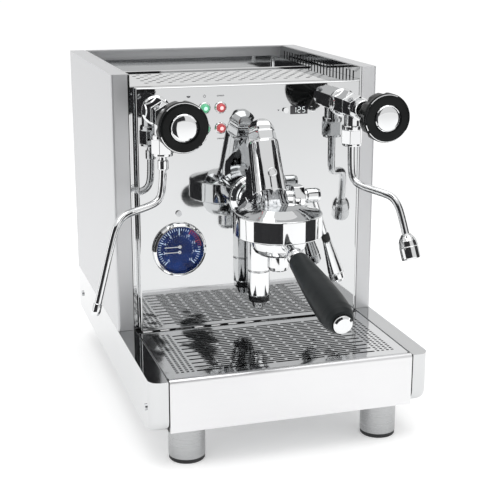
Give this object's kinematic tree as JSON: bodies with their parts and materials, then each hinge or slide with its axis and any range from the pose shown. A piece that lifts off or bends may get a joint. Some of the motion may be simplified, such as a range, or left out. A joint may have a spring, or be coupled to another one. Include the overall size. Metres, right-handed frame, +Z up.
{
  "type": "espresso machine",
  "caption": "Countertop espresso machine in polished steel: lever brew group, portafilter, steam and hot water wands, pressure gauge, pilot lamps, drip drawer and cup deck.",
  "frame": {"origin": "on the worktop under the middle of the whole outline; the case's middle plane is at x = +16.7 mm because the steam wand swings out to the left, and the splash panel's flanges are at y = +4 mm", "axes": "+X to the machine's right seen from the front, +Y towards its back, +Z up"},
  "size_m": [0.3484, 0.5729, 0.378],
  "materials": {
    "mirror_steel": "mirror-polished stainless sheet",
    "satin_steel": "fine brushed stainless sheet",
    "pale_steel": "bright satin stainless sheet",
    "hidden_steel": "plain stainless sheet",
    "chrome": "bright chrome on brass",
    "screw_steel": "dark socket screws",
    "foot_steel": "turned, brushed round the axis",
    "rubber_black": "matte",
    "knob_black": "semi-gloss moulding",
    "grip_black": "soft matte, fine grain",
    "collar_black": "matte",
    "basket_steel": "pressed stainless",
    "seal_white": "PTFE",
    "dial_blue": "deep blue print with white marks",
    "gauge_glass": "clear",
    "needle_white": "white enamel",
    "lamp_clear": "clear faceted",
    "lamp_green": "lit green",
    "lamp_red": "lit red",
    "display_black": "black window with red digits",
    "copper": "copper, lightly tarnished",
    "pump_paint": "dark enamel and brass",
    "tank_plastic": "translucent",
    "box_grey": "moulded",
    "inlet_black": "moulded"
  },
  "bodies": {
    "case": {"chassis_pan": "hidden_steel", "base_cheeks": "satin_steel", "left_side_panel": "satin_steel", "right_side_panel": "satin_steel", "back_panel": "satin_steel", "front_panel": "mirror_steel", "cup_deck": "satin_steel", "feet": "foot_steel", "foot_pads": "rubber_black", "case_screws": "screw_steel", "group_body": "chrome", "group_cap": "chrome", "group_side_plug": "chrome", "infusion_chamber": "chrome", "cam_nut": "chrome", "group_gasket": "rubber_black", "shower_screen": "basket_steel", "steam_valve": "chrome", "water_valve": "chrome", "gauge_case": "chrome", "gauge_dial": "dial_blue", "gauge_glass": "gauge_glass", "lamp_bezels": "chrome", "green_lenses": "lamp_green", "red_lenses": "lamp_red", "clear_lenses": "lamp_clear", "display_module": "display_black", "brew_boiler": "copper", "steam_boiler": "copper", "boiler_pipes": "copper", "pump": "pump_paint", "control_box": "box_grey", "power_inlet": "inlet_black"},
    "drawer": {"drawer_pan": "hidden_steel", "drawer_front": "pale_steel"},
    "grille": {"drip_grille": "mirror_steel"},
    "tank": {"water_tank": "tank_plastic"},
    "lid": {"tank_lid": "mirror_steel"},
    "lever": {"lever_shaft": "chrome", "lever_collar": "collar_black", "lever_grip": "chrome"},
    "portafilter": {"portafilter_body": "chrome", "filter_basket": "basket_steel", "portafilter_spout": "chrome", "portafilter_grip": "grip_black", "grip_end_cap": "chrome"},
    "steam_tap": {"steam_knob": "knob_black", "steam_knob_cap": "chrome"},
    "water_tap": {"water_knob": "knob_black", "water_knob_cap": "chrome"},
    "steam_swivel": {"steam_ball_seal": "seal_white"},
    "steam_arm": {"steam_wand": "chrome"},
    "water_swivel": {"water_ball_seal": "seal_white"},
    "water_arm": {"water_wand": "chrome", "water_tip": "chrome"},
    "brew_hand": {"brew_needle": "needle_white"},
    "boiler_hand": {"boiler_needle": "needle_white"},
    "button_left": {"left_button": "chrome"},
    "button_right": {"right_button": "chrome"},
    "rocker": {"power_rocker": "inlet_black"}
  },
  "joints": [
    {"name": "drawer_slide", "type": "slide", "parent": "case", "child": "drawer", "axis": [0, -1, 0], "range_m": [0, 0.13]},
    {"name": "grille_lift", "type": "slide", "parent": "drawer", "child": "grille", "axis": [0, 0, 1], "range_m": [0, 0.02]},
    {"name": "tank_lift", "type": "slide", "parent": "case", "child": "tank", "axis": [0, 0, 1], "range_m": [0, 0.2]},
    {"name": "lid_lift", "type": "slide", "parent": "tank", "child": "lid", "axis": [0, 0, 1], "range_m": [0, 0.1]},
    {"name": "lever_lift", "type": "hinge", "parent": "case", "child": "lever", "pos_m": [0.0757, -0.044, 0.247], "axis": [-1, 0, 0], "range_deg": [0, 80]},
    {"name": "portafilter_turn", "type": "hinge", "parent": "case", "child": "portafilter", "pos_m": [0.0167, -0.102, 0.222], "axis": [0, 0, 1], "range_deg": [-55, 0]},
    {"name": "steam_knob_turn", "type": "hinge", "parent": "case", "child": "steam_tap", "pos_m": [-0.0883, -0.117, 0.341], "axis": [0, -1, 0], "range_deg": [0, 360]},
    {"name": "water_knob_turn", "type": "hinge", "parent": "case", "child": "water_tap", "pos_m": [0.1217, -0.117, 0.341], "axis": [0, -1, 0], "range_deg": [0, 360]},
    {"name": "steam_wand_swivel", "type": "hinge", "parent": "case", "child": "steam_swivel", "pos_m": [-0.0883, -0.037, 0.309], "axis": [0, 0, 1], "range_deg": [-40, 80]},
    {"name": "steam_wand_tilt", "type": "hinge", "parent": "steam_swivel", "child": "steam_arm", "pos_m": [-0.0883, -0.037, 0.309], "axis": [0, 1, 0], "range_deg": [-15, 15]},
    {"name": "water_wand_swivel", "type": "hinge", "parent": "case", "child": "water_swivel", "pos_m": [0.1217, -0.037, 0.309], "axis": [0, 0, 1], "range_deg": [-20, 60]},
    {"name": "water_wand_tilt", "type": "hinge", "parent": "water_swivel", "child": "water_arm", "pos_m": [0.1217, -0.037, 0.309], "axis": [1, 0, 0], "range_deg": [-15, 15]},
    {"name": "brew_needle_turn", "type": "hinge", "parent": "case", "child": "brew_hand", "pos_m": [-0.0653, -0.01, 0.1912], "axis": [0, 1, 0], "range_deg": [0, 150], "stiffness_Nm_per_rad": 0.0005},
    {"name": "boiler_needle_turn", "type": "hinge", "parent": "case", "child": "boiler_hand", "pos_m": [-0.0653, -0.0087, 0.1848], "axis": [0, -1, 0], "range_deg": [0, 150], "stiffness_Nm_per_rad": 0.0005},
    {"name": "left_button_press", "type": "slide", "parent": "case", "child": "button_left", "axis": [0, 1, 0], "range_m": [0, 0.0015], "stiffness_N_per_m": 250},
    {"name": "right_button_press", "type": "slide", "parent": "case", "child": "button_right", "axis": [0, 1, 0], "range_m": [0, 0.0015], "stiffness_N_per_m": 250},
    {"name": "power_rocker_turn", "type": "hinge", "parent": "case", "child": "rocker", "pos_m": [-0.0523, 0.2805, 0.126], "axis": [1, 0, 0], "range_deg": [0, 14]}
  ]
}
